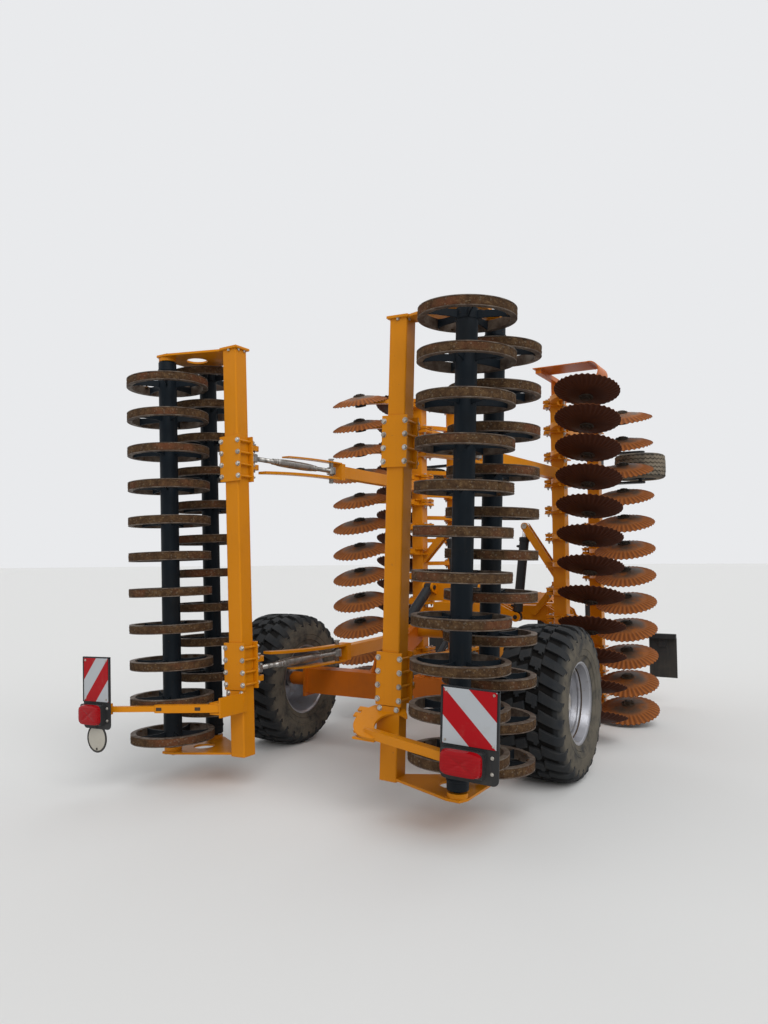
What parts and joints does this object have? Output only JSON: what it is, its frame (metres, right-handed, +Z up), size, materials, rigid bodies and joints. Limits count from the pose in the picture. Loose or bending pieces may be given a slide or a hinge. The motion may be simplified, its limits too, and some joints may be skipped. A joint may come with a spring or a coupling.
{
  "type": "trailed folding disc harrow",
  "caption": "Trailed compact disc harrow with two folding wings, fluted discs, tandem channel-ring rollers, transport wheels, warning boards and a drawbar.",
  "frame": {"origin": "on the ground, at the middle of the folded machine's length and width", "axes": "+Y the way it is drawn, +X its right side, +Z up"},
  "size_m": [2.9975, 7.405, 3.338],
  "materials": {
    "yellow_paint": "semi gloss yellow-orange paint, dusty",
    "disc_steel": "rusty worn steel",
    "roller_steel": "dark blue-black paint with packed soil in the channels",
    "tyre_rubber": "matt black rubber with dust",
    "rim_paint": "silver paint",
    "zinc": "zinc plated",
    "dark_steel": "black paint",
    "board": "red and white reflective boards and red lamps on black plates",
    "cast_eye": "dark cast steel"
  },
  "bodies": {
    "chassis": {"chassis_frame": "yellow_paint", "axle_beam": "yellow_paint", "lift_cylinders": "dark_steel", "drawbar": "yellow_paint", "hitch_eye": "cast_eye", "jack_leg": "dark_steel", "front_boards": "board"},
    "jack": {"jack_foot": "zinc"},
    "wing_right": {"wing_frame_right": "yellow_paint", "rear_disc_arms_right": "yellow_paint", "front_disc_arms_right": "yellow_paint", "rear_discs_right": "disc_steel", "front_discs_right": "disc_steel", "roller_beam_right": "yellow_paint", "roller_arms_right": "yellow_paint", "turnbuckles_right": "zinc", "roller_ends_right": "yellow_paint", "support_fork_right": "yellow_paint", "light_carrier_right": "yellow_paint", "light_board_right": "board", "soil_deflector": "yellow_paint"},
    "wheel_right": {"wheel_rim_right": "rim_paint", "wheel_tyre_right": "tyre_rubber"},
    "rear_roller_right": {"rear_roller_right": "roller_steel"},
    "front_roller_right": {"front_roller_right": "roller_steel"},
    "support_wheel_right": {"support_wheel_right": "tyre_rubber"},
    "fold_barrel_right": {"fold_barrel_right": "dark_steel"},
    "fold_rod_right": {"fold_rod_right": "zinc"},
    "wing_left": {"wing_frame_left": "yellow_paint", "rear_disc_arms_left": "yellow_paint", "front_disc_arms_left": "yellow_paint", "rear_discs_left": "disc_steel", "front_discs_left": "disc_steel", "roller_beam_left": "yellow_paint", "roller_arms_left": "yellow_paint", "turnbuckles_left": "zinc", "roller_ends_left": "yellow_paint", "support_fork_left": "yellow_paint", "light_carrier_left": "yellow_paint", "light_board_left": "board"},
    "wheel_left": {"wheel_rim_left": "rim_paint", "wheel_tyre_left": "tyre_rubber"},
    "rear_roller_left": {"rear_roller_left": "roller_steel"},
    "front_roller_left": {"front_roller_left": "roller_steel"},
    "support_wheel_left": {"support_wheel_left": "tyre_rubber"},
    "fold_barrel_left": {"fold_barrel_left": "dark_steel"},
    "fold_rod_left": {"fold_rod_left": "zinc"}
  },
  "joints": [
    {"name": "jack_slide", "type": "slide", "parent": "chassis", "child": "jack", "axis": [0, 0, 1], "range_m": [0, 0.2]},
    {"name": "wing_fold_right", "type": "hinge", "parent": "chassis", "child": "wing_right", "pos_m": [0.67, 0.3475, 0.85], "axis": [0, 1, 0], "range_deg": [0, 90]},
    {"name": "wheel_spin_right", "type": "hinge", "parent": "chassis", "child": "wheel_right", "pos_m": [1.18, -1.7925, 0.54], "axis": [1, 0, 0], "continuous": true},
    {"name": "rear_roller_spin_right", "type": "hinge", "parent": "wing_right", "child": "rear_roller_right", "pos_m": [1.1473, -3.1825, 1.65993], "axis": [0.0349, 0, 0.9994], "continuous": true},
    {"name": "front_roller_spin_right", "type": "hinge", "parent": "wing_right", "child": "front_roller_right", "pos_m": [1.1473, -2.7625, 1.65993], "axis": [0.0349, 0, 0.9994], "continuous": true},
    {"name": "support_wheel_spin_right", "type": "hinge", "parent": "wing_right", "child": "support_wheel_right", "pos_m": [1.235, 0.9775, 2.47], "axis": [0, 0, 1], "continuous": true},
    {"name": "fold_cylinder_swing_right", "type": "hinge", "parent": "chassis", "child": "fold_barrel_right", "pos_m": [0.3, -0.1225, 0.99], "axis": [0, 1, 0], "range_deg": [0, 77.96]},
    {"name": "fold_cylinder_stroke_right", "type": "slide", "parent": "fold_barrel_right", "child": "fold_rod_right", "axis": [0.1155, 0, 0.9933], "range_m": [0, 0.5109]},
    {"name": "wing_fold_left", "type": "hinge", "parent": "chassis", "child": "wing_left", "pos_m": [-0.67, 0.3475, 0.85], "axis": [0, -1, 0], "range_deg": [0, 90]},
    {"name": "wheel_spin_left", "type": "hinge", "parent": "chassis", "child": "wheel_left", "pos_m": [-1.18, -1.7925, 0.54], "axis": [1, 0, 0], "continuous": true},
    {"name": "rear_roller_spin_left", "type": "hinge", "parent": "wing_left", "child": "rear_roller_left", "pos_m": [-1.1473, -3.1825, 1.65993], "axis": [-0.0349, 0, 0.9994], "continuous": true},
    {"name": "front_roller_spin_left", "type": "hinge", "parent": "wing_left", "child": "front_roller_left", "pos_m": [-1.1473, -2.7625, 1.65993], "axis": [-0.0349, 0, 0.9994], "continuous": true},
    {"name": "support_wheel_spin_left", "type": "hinge", "parent": "wing_left", "child": "support_wheel_left", "pos_m": [-1.235, 0.9775, 2.47], "axis": [0, 0, 1], "continuous": true},
    {"name": "fold_cylinder_swing_left", "type": "hinge", "parent": "chassis", "child": "fold_barrel_left", "pos_m": [-0.3, -0.1225, 0.99], "axis": [0, -1, 0], "range_deg": [0, 77.96]},
    {"name": "fold_cylinder_stroke_left", "type": "slide", "parent": "fold_barrel_left", "child": "fold_rod_left", "axis": [-0.1155, 0, 0.9933], "range_m": [0, 0.5109]}
  ],
  "couplings": [
    {"joint": "fold_cylinder_swing_right", "follows": "wing_fold_right", "ratio": 0.86608},
    {"joint": "fold_cylinder_stroke_right", "follows": "wing_fold_right", "m_per_rad": 0.32491},
    {"joint": "fold_cylinder_swing_left", "follows": "wing_fold_left", "ratio": 0.86608},
    {"joint": "fold_cylinder_stroke_left", "follows": "wing_fold_left", "m_per_rad": 0.32491}
  ]
}
